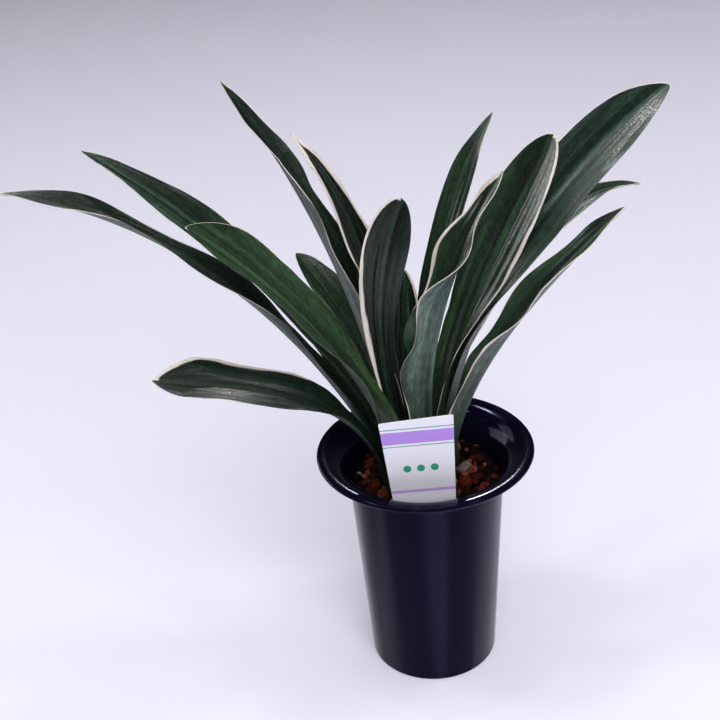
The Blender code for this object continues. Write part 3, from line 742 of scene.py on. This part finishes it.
def make_pot(finish):
    """The spun profile with its drainage holes cut; it replaces the solid pot."""
    bm = bmesh.new()
    points = [bm.verts.new((radius, 0.0, height)) for radius, height in pot_profile()]
    edges = [bm.edges.new(pair) for pair in zip(points, points[1:])]
    bmesh.ops.spin(
        bm, geom=points + edges, cent=(0, 0, 0), axis=(0, 0, 1), angle=2 * math.pi,
        steps=POT_SIDES, use_merge=True,
    )
    bmesh.ops.remove_doubles(bm, verts=bm.verts, dist=MERGED)
    bmesh.ops.recalc_face_normals(bm, faces=bm.faces)
    pot = finished(bm, "glossy_pot", [finish], ["pot"])
    pegs = bmesh.new()
    for step in range(DRAIN_HOLES):
        turn = 2 * math.pi * (step + 0.5) / DRAIN_HOLES
        made = bmesh.ops.create_cone(
            pegs, cap_ends=True, segments=DRAIN_SIDES, radius1=DRAIN_DIAMETER / 2,
            radius2=DRAIN_DIAMETER / 2, depth=4 * FLOOR,
        )
        place = (DRAIN_CIRCLE * math.cos(turn), DRAIN_CIRCLE * math.sin(turn), 0.0)
        bmesh.ops.translate(pegs, verts=made["verts"], vec=place)
    cutter = placed(pegs, "drain_pegs")
    drill = pot.modifiers.new("Drainage", "BOOLEAN")
    drill.operation = "DIFFERENCE"
    drill.solver = "EXACT"
    drill.object = cutter
    graph = bpy.context.evaluated_depsgraph_get()
    drilled = bpy.data.meshes.new_from_object(pot.evaluated_get(graph))
    pot.modifiers.clear()
    pot.data = drilled
    bpy.data.objects.remove(cutter)
    pot.data.shade_smooth()
    pot.data.set_sharp_from_angle(angle=SHARP_FROM)
    return pot


pot_piece = make_pot(pot_finish)
print("pot faces:", len(pot_piece.data.polygons))

# %% [markdown]
# ## The pumice
#
# The plant grows in red pumice gravel: light, angular, porous stones of 4 to 13 mm, mostly
# brown-red, with a few greyish ones. The solid bed already has a dome for each large stone, so it
# stays below, painted near-black as the shade in the gaps between stones, and a real stone is laid
# on each dome, with smaller ones in the gaps and between the leaves. They could be dropped in a
# simulation, but seeded places give the same bed every time. A stone that would touch a leaf, the
# stake or the pot is made smaller or left out, and so is one that would sit too far inside another.

# %% Where the stones lie, in millimetres
BED_HEIGHT = 145.0
STONE_RELIEF = 5.0  # of the highest dome
STONE_PITCH = 10.0
STONE_SHIFT = 2.5
LOWEST_STONE = 0.55  # share of the highest one
BED_SEED = 7
LARGE_STONE = (4.8, 1.6)  # radius of a large stone, and how much more the largest one has
LARGE_SINK = 3.6  # from a dome's top down to its stone's middle
SMALL_TRIES = 900
SMALL_REACH = 51.0  # from the pot's axis
SMALL_RADII = (1.8, 3.6)
SMALL_HEIGHTS = (0.2, 2.6)  # above the bed
SMALLEST_LAID = 1.7
CROWDED = 0.72  # stones lie at least this share of their two radii apart
STAKE_PLACE = (-1.2, -45.0)
STAKE_REACH = 22.5  # half of its width, and some room
STAKE_GAP = 1.2  # kept clear on each side of the stake
POT_GAP = 0.4
LEAF_ROOM = 0.95  # share of the way to the nearest leaf that a stone may fill
LEAF_FEET_TOP = 162.0  # leaf points above this are too high to be in a stone's way


def bed_stones():
    """The places of the solid bed's domes, by the same rule and seed."""
    draw = random.Random(BED_SEED)
    rows = math.ceil(RIM_RADIUS / STONE_PITCH)
    found = []
    for row in range(-rows, rows + 1):
        for column in range(-rows, rows + 1):
            x = (column + 0.5 * (row % 2)) * STONE_PITCH + draw.uniform(-STONE_SHIFT, STONE_SHIFT)
            y = row * STONE_PITCH * math.sqrt(0.75) + draw.uniform(-STONE_SHIFT, STONE_SHIFT)
            found.append((x, y, draw.uniform(LOWEST_STONE, 1.0)))
    return found


def leaf_feet():
    """A search tree of leaf points near the bed."""
    places = []
    for piece in bpy.data.objects:
        if piece.name.endswith("_blade"):
            places += [v.co / MM for v in piece.data.vertices if v.co.z < LEAF_FEET_TOP * MM]
    tree = KDTree(len(places))
    for index, place in enumerate(places):
        tree.insert(place, index)
    tree.balance()
    return tree


def stone_places():
    """(place, radius) of every stone: large ones on the domes, small ones between them."""
    feet = leaf_feet()
    draw = random.Random(BED_SEED + 1)
    wanted = []
    for x, y, size in bed_stones():
        middle = (x, y, BED_HEIGHT + STONE_RELIEF * size - LARGE_SINK)
        wanted.append((middle, LARGE_STONE[0] + LARGE_STONE[1] * size))
    for _ in range(SMALL_TRIES):
        turn = draw.uniform(0, 2 * math.pi)
        reach = SMALL_REACH * math.sqrt(draw.random())
        radius = draw.uniform(*SMALL_RADII)
        height = BED_HEIGHT + draw.uniform(*SMALL_HEIGHTS)
        wanted.append(((reach * math.cos(turn), reach * math.sin(turn), height), radius))
    laid = []
    for place, radius in wanted:
        place = Vector(place)
        room = wall_radius(place.z, WALL + POT_GAP) - math.hypot(place.x, place.y)
        room = min(room, feet.find(place)[2] * LEAF_ROOM)
        if abs(place.x - STAKE_PLACE[0]) < STAKE_REACH:
            room = min(room, abs(place.y - STAKE_PLACE[1]) - STAKE_GAP)
        radius = min(radius, room)
        crowded = any((place - other).length < CROWDED * (radius + near) for other, near in laid)
        if radius > SMALLEST_LAID and not crowded:
            laid.append((place, radius))
    return laid


print("domes on the bed's grid:", len(bed_stones()))

# %% [markdown]
# ## The pumice's finish
#
# Pumice is foam that set to stone. Its colour goes from rust to grey between stones and is
# blotchy on each, and its open pores swallow light, so it hardly gleams. A colour ramp turns one
# number into a tint: each loose stone has a number of its own, and the bed takes it from noise.

# %% Pumice finish, in millimetres
TINT_SIZE = 6.25
BLOTCH_SIZE = 2.381
PORE_SIZE = 0.7692
PORE_RELIEF = 0.5
TINT_STEPS = (0.0, 0.4, 0.7, 0.93, 0.985)  # the last two tints are the rare, pale ones


def rough_pumice(name, attribute, tints):
    """Foamed volcanic stone: blotchy, matt, and full of fine pores."""
    material, tree = new_material(name)
    place = add(tree, "TexCoord").outputs["Object"]
    if attribute:
        tint = add(tree, "Attribute", attribute_name=attribute).outputs["Fac"]
    else:
        tint = uneven(tree, place, [TINT_SIZE] * 3, 2.0)
    own = add(tree, "ValToRGB", {"Fac": tint}, stops=list(zip(TINT_STEPS, tints)))
    blotch = uneven(tree, place, [BLOTCH_SIZE] * 3, 4.0)
    shade = add(tree, "MapRange", spans(blotch, 0.3, 0.7, 0.45, 1.25))
    colour = add(tree, "VectorMath", {0: own, "Scale": shade}, operation="SCALE")
    pores = add(tree, "TexVoronoi", {"Vector": place, "Scale": 1 / (PORE_SIZE * MM)})
    height = add(tree, "Math", {0: pores.outputs["Distance"], 1: blotch}, operation="ADD")
    relief = {"Height": height, "Strength": 0.6, "Distance": PORE_RELIEF * MM}
    relief = add(tree, "Bump", relief)
    shader = add(
        tree, "BsdfPrincipled",
        {"Base Color": colour, "Roughness": 0.78, "Specular IOR Level": 0.06, "Normal": relief},
    )
    add(tree, "OutputMaterial", {"Surface": shader})
    return material


# The bed's tints are all near-black: painted shade that stands for the dark gaps between the stones.
pumice_painted_as_gap_shade = rough_pumice(
    "pumice bed painted as gap shade", None, ("#050202", "#090403", "#0e0604", "#140906", "#140906")
)
red_pumice = rough_pumice(
    "red pumice", "tint", ("#190806", "#34120c", "#5c2419", "#7c4336", "#6f6467")
)
print("pumice finishes:", pumice_painted_as_gap_shade.name, "and", red_pumice.name)

# %% [markdown]
# ## The loose stones
#
# A broken stone has no two sides alike, but a few hundred of them have to stay light. Each is a
# ball of 80 faces, dented by two sizes of noise, squashed and turned, which is enough for a
# stone of a few millimetres. All of them are one piece, with a tint stored per stone.

# %% Lay the stones
BROAD_DENTS = (0.30, 1.3)  # share of the radius, and scale on a ball of radius 1
FINE_DENTS = (0.16, 3.1)
SQUASH = (0.78, 1.05)
NOISE_REACH = 40  # each stone takes its dents from another place in the noise
ANY_TURN = 6.3  # radians, a whole turn


def dented(point, offset):
    """How far out a stone's surface is, where 1 is the ball that it was."""
    dent = 1.0
    for depth, scale in (BROAD_DENTS, FINE_DENTS):
        dent += depth * noise.noise(point * scale + offset)
    return dent


def make_stones(finish):
    """All the loose stones as one piece, and their number."""
    bm = bmesh.new()
    tints = bm.verts.layers.float.new("tint")
    draw = random.Random(BED_SEED + 2)
    laid = stone_places()
    for place, radius in laid:
        made = bmesh.ops.create_icosphere(bm, subdivisions=2, radius=1.0)["verts"]
        tint = draw.random()
        offset = Vector([draw.uniform(-NOISE_REACH, NOISE_REACH) for _ in range(3)])
        size = [radius * draw.uniform(*SQUASH) for _ in range(3)]
        turn = Euler([draw.uniform(0, ANY_TURN) for _ in range(3)]).to_matrix()
        for vert in made:
            shape = vert.co * dented(vert.co, offset)
            vert.co = place + turn @ Vector([c * s for c, s in zip(shape, size)])
            vert[tints] = tint
    return finished(bm, "pumice_stones", [finish]), len(laid)


refinish("pumice_bed", pumice_painted_as_gap_shade)
stones, stone_count = make_stones(red_pumice)
print("stones:", stone_count, "faces:", len(stones.data.polygons))

# %% [markdown]
# ## The rootstock
#
# Only a sliver of the stump shows between the leaves and the stones, so the solid stays and
# gets a fibrous, pale brown finish: noise that is ten times as long as it is wide.

# %% Rootstock finish, in millimetres
FIBRE_SIZE = (1.1111, 1.1111, 11.111)
FIBRE_RELIEF = 0.5


def fibrous_skin():
    """Dry corky skin: matt and pale brown, with upright fibres."""
    material, tree = new_material("fibrous rootstock skin")
    place = add(tree, "TexCoord").outputs["Object"]
    fibre = uneven(tree, place, FIBRE_SIZE, 4.0)
    colour = add(tree, "ValToRGB", {"Fac": fibre}, stops=[(0.35, "#2d1f12"), (0.65, "#6d5634")])
    relief = {"Height": fibre, "Strength": 0.5, "Distance": FIBRE_RELIEF * MM}
    relief = add(tree, "Bump", relief)
    shader = {"Base Color": colour, "Roughness": 0.8, "Normal": relief}
    shader = add(tree, "BsdfPrincipled", shader)
    add(tree, "OutputMaterial", {"Surface": shader})
    return material


root_skin = fibrous_skin()
refinish("rootstock", root_skin)
print("rootstock finish:", root_skin.name)

# %% [markdown]
# ## The name stake's finish
#
# A die-cut plate of white plastic with a plain print: a lilac band and a thin lilac rule, two
# teal rules and three teal dots. It could be a picture on the plate, but bands and dots are
# easily told by distance: a spot is inked where it is near enough to a band's middle line or to
# a dot's centre. Each vertex keeps its flat place on the plate from before the plate is stood
# up, so the print follows the plate.

# %% Stake finish, in millimetres above the bed
PRINTED_BANDS = (  # middle, half height, ink
    (62.0, 4.6, "#b58ce6"),
    (68.6, 0.35, "#3aa08a"),
    (55.6, 0.35, "#3aa08a"),
    (20.5, 1.1, "#c9a9ee"),
)
DOT_HEIGHT = 38.0
DOT_PLACES = (-9.0, 0.0, 9.0)
DOT_RADIUS = 2.6
DOT_INK = "#2a9c80"
SHEET_GRAIN = 1.1111
SHEET_RELIEF = 0.2


def printed_plastic():
    """White polypropylene sheet: smooth, half matt, with a flat print in lilac and teal."""
    material, tree = new_material("printed white plastic sheet")
    own = add(tree, "Attribute", attribute_name="flat").outputs["Vector"]
    up = add(tree, "SeparateXYZ", {"Vector": own}).outputs["Y"]
    masks = []
    for middle, half, ink in PRINTED_BANDS:
        off = add(tree, "Math", {0: up, 1: middle * MM}, operation="SUBTRACT")
        away = add(tree, "Math", {0: off}, operation="ABSOLUTE")
        masks.append((away, half, ink))
    for x in DOT_PLACES:
        ends = {0: own, 1: (x * MM, DOT_HEIGHT * MM, 0.0)}
        away = add(tree, "VectorMath", ends, operation="DISTANCE").outputs["Value"]
        masks.append((away, DOT_RADIUS, DOT_INK))
    colour = linear("#eeecf8")
    for away, reach, ink in masks:
        inked = add(tree, "Math", {0: away, 1: reach * MM}, operation="LESS_THAN")
        inks = {6: colour, 7: linear(ink), "Factor": inked}
        colour = add(tree, "Mix", inks, data_type="RGBA").outputs[2]
    grain = uneven(tree, own, [SHEET_GRAIN] * 3, 2.0)
    relief = {"Height": grain, "Strength": 0.05, "Distance": SHEET_RELIEF * MM}
    relief = add(tree, "Bump", relief)
    shader = {"Base Color": colour, "Roughness": 0.38, "IOR": 1.49, "Normal": relief}
    shader = add(tree, "BsdfPrincipled", shader)
    add(tree, "OutputMaterial", {"Surface": shader})
    return material


stake_finish = printed_plastic()
print("stake finish:", stake_finish.name)

# %% [markdown]
# ## Cutting and standing the stake
#
# The outline is a few points on one side, mirrored, filled as one face and extruded. A narrow
# bevel takes the hard edge off, as a die leaves it. The plate is drawn lying down, with zero at
# the bed, and then stood up and leant as one piece.

# %% Cut and stand the stake, in millimetres
STAKE_TOP_WIDTH = 48.5
STAKE_BED_WIDTH = 39.2
STAKE_TOP_HEIGHT = 220.0
STAKE_SHOULDER_HEIGHT = 136.0
STAKE_POINT_HEIGHT = 92.0
STAKE_POINT_WIDTH = 3.0
STAKE_THICKNESS = 0.9
STAKE_CORNER = 1.0
STAKE_BEVEL = 0.15
STAKE_LEAN = math.radians(2.9)
TOP_SLOPE = math.radians(2.6)  # of the top edge, less and less towards the bed
HARD_EDGE = math.radians(60)
CORNER_STEPS = 8


def stake_outline():
    """One side, mirrored: half the width by the height above the bed, with round corners."""
    point = STAKE_POINT_HEIGHT - BED_HEIGHT
    shoulder = STAKE_SHOULDER_HEIGHT - BED_HEIGHT
    top = STAKE_TOP_HEIGHT - BED_HEIGHT
    corner = (STAKE_TOP_WIDTH / 2 - STAKE_CORNER, top - STAKE_CORNER)
    side = [(STAKE_POINT_WIDTH / 2, point), (STAKE_BED_WIDTH / 2, shoulder)]
    side += arc(corner, (STAKE_CORNER, STAKE_CORNER), 0, 90, CORNER_STEPS)
    both = side + [(-x, y) for x, y in reversed(side)]
    return [(x, y + x * math.tan(TOP_SLOPE) * max(0.0, y) / top) for x, y in both]


def make_stake(finish):
    """The outline, filled, extruded, bevelled and stood up; it replaces the solid stake."""
    bm = bmesh.new()
    flat = bm.verts.layers.float_vector.new("flat")
    corners = [bm.verts.new((x, y, -STAKE_THICKNESS / 2)) for x, y in stake_outline()]
    face = bm.faces.new(corners)
    raised = bmesh.ops.extrude_face_region(bm, geom=[face])["geom"]
    lifted = [part for part in raised if isinstance(part, bmesh.types.BMVert)]
    bmesh.ops.translate(bm, verts=lifted, vec=(0, 0, STAKE_THICKNESS))
    bmesh.ops.recalc_face_normals(bm, faces=bm.faces)
    bent = [edge for edge in bm.edges if edge.calc_face_angle() > HARD_EDGE]
    bmesh.ops.bevel(
        bm, geom=bent, offset=STAKE_BEVEL, affect="EDGES", segments=2, profile=0.5, material=-1,
    )
    for vert in bm.verts:
        vert[flat] = (vert.co.x * MM, vert.co.y * MM, 0.0)
    stand = Matrix.Translation((STAKE_PLACE[0], STAKE_PLACE[1], BED_HEIGHT))
    stand = stand @ Euler((math.radians(90), -STAKE_LEAN, 0.0)).to_matrix().to_4x4()
    bmesh.ops.transform(bm, matrix=stand, verts=bm.verts)
    return finished(bm, "printed_stake", [finish], ["name_stake"], smooth=False)


stake = make_stake(stake_finish)
print("stake faces:", len(stake.data.polygons))

# %% [markdown]
# ## Floor
#
# The plant stands on a seamless sheet of white paper. The paper is lit from above, and has a
# faint glow of its own, which stands for light that comes back from the rest of a pale studio.

# %% Floor, in millimetres
PAPER_GRAIN = 333.33  # between slow changes of tone
FLOOR_RADIUS = 9000.0
FLOOR_SIDES = 96


def plain_paper():
    """Matt white paper with a faintly cool cast."""
    material, tree = new_material("seamless background paper")
    place = add(tree, "TexCoord").outputs["Object"]
    grain = uneven(tree, place, [PAPER_GRAIN] * 3, 2.0)
    colour = add(tree, "ValToRGB", {"Fac": grain}, stops=[(0.3, "#f1effe"), (0.7, "#f4f2ff")])
    shader = add(
        tree, "BsdfPrincipled",
        {"Base Color": colour, "Roughness": 0.9, "Emission Color": linear("#e9e6ff"),
         "Emission Strength": 0.17},
    )
    add(tree, "OutputMaterial", {"Surface": shader})
    return material


def make_floor(finish):
    """A wide disc for the plant to stand on; it is part of the stage."""
    bm = bmesh.new()
    bmesh.ops.create_circle(bm, cap_ends=True, segments=FLOOR_SIDES, radius=FLOOR_RADIUS)
    floor = placed(bm, "floor", [finish])


make_floor(plain_paper())
print("floor radius:", FLOOR_RADIUS * MM, "m")

# %% [markdown]
# ## Light
#
# Two wide, soft fills give the light and nearly no shadow, and leave no gleam. Small softboxes at
# the left, at the right and above put short, crisp gleams on the rim and the leaves. The last
# four lamps are seen only in reflections. A gleam shows where a surface halves the angle between
# the lamp and the eye, so each of them stands where that rule asks: two low ones for the grey
# sheen of the leaves that face up and away, and two small ones for the glints on the rim.

# %% Lights, in metres and watts
PLANT = (0.0, 0.0, 0.2)
LAMP_DISTANCE = 3.0


def softbox(name, place, aim, side, power, fills=True, gleams=True):
    """A square lamp that may be left out of the diffuse light or of the reflections."""
    lamp = bpy.data.lights.new(name, "AREA")
    lamp.shape = "SQUARE"
    lamp.size = side
    lamp.energy = power
    light = bpy.data.objects.new(name, lamp)
    light.location = place
    light.rotation_euler = (Vector(aim) - Vector(place)).to_track_quat("-Z", "Y").to_euler()
    light.visible_camera = False
    light.visible_diffuse = fills
    light.visible_glossy = gleams
    bpy.context.scene.collection.objects.link(light)


def around(azimuth, height_angle):
    """A place round the plant: 0 degrees is the right, 90 is behind it, 180 is the left."""
    turn, rise = math.radians(azimuth), math.radians(height_angle)
    level = LAMP_DISTANCE * math.cos(rise)
    height = PLANT[2] + LAMP_DISTANCE * math.sin(rise)
    return (level * math.cos(turn), level * math.sin(turn), height)


softbox("overhead fill", (0.1, 0.0, 2.3), (0.1, 0.0, 0), 3.0, 28.0, gleams=False)
softbox("front fill", (0.5, -2.1, 2.2), (0.2, 0.1, 0.1), 2.0, 58.0, gleams=False)
softbox("left softbox", around(180, 63), PLANT, 0.4, 9.0)
softbox("right softbox", around(5, 66), PLANT, 0.25, 5.0)
softbox("top softbox", around(180, 85), PLANT, 0.2, 4.0)
softbox("gleam from behind left", around(132, 30), PLANT, 1.0, 8.0, fills=False)
softbox("gleam from low left", around(150, 12), PLANT, 1.7, 36.0, fills=False)
softbox("rim glint from behind", around(115, 54), PLANT, 0.28, 16.0, fills=False)
softbox("front rim glint", around(90, 23), PLANT, 0.15, 6.0, fills=False)
print("lamps:", len(bpy.data.lights))

# %% [markdown]
# ## Sky
#
# The world is pale near the horizon and nearly black above, so the leaves mirror a bright room
# at their edges but not a white ceiling.

# %% Sky
SKY_STRENGTH = 0.18
SKY_STOPS = [(0.0, "#c8c8d8"), (0.3, "#a0a0b0"), (0.6, "#17171c")]
world = bpy.data.worlds.new("studio")
bpy.context.scene.world = world
world.use_nodes = True
sky = world.node_tree
sky.nodes.clear()
direction = add(sky, "TexCoord").outputs["Generated"]
up = add(sky, "SeparateXYZ", {"Vector": direction}).outputs["Z"]
tone = add(sky, "ValToRGB", {"Fac": up}, stops=SKY_STOPS)
glow = add(sky, "Background", {"Color": tone, "Strength": SKY_STRENGTH})
add(sky, "OutputWorld", {"Surface": glow})
print("sky nodes:", len(sky.nodes))

# %% [markdown]
# ## Camera
#
# The camera looks down on the plant from the front, as in the photograph. The wider a lens, the
# more the rim's near side swells against the far one, so the lens and the distance were matched
# on the rim's two halves and the height of the leaves. The standard view transform keeps the
# paper as pale as it is.

# %% Camera
CAMERA_PLACE = (0.0, -0.7303, 0.6343)
CAMERA_TURN = (61.641, 3.836, 1.070)  # degrees about X, Y and Z
FOCAL_LENGTH = 62.5  # millimetres, on a sensor of 36
lens = bpy.data.cameras.new("camera")
lens.lens = FOCAL_LENGTH
lens.sensor_width = 36.0
camera = bpy.data.objects.new("camera", lens)
camera.location = CAMERA_PLACE
camera.rotation_euler = [math.radians(angle) for angle in CAMERA_TURN]
bpy.context.scene.collection.objects.link(camera)
bpy.context.scene.camera = camera
bpy.context.scene.view_settings.view_transform = "Standard"
print("camera to plant:", round((Vector(CAMERA_PLACE) - Vector(PLANT)).length, 3), "m")
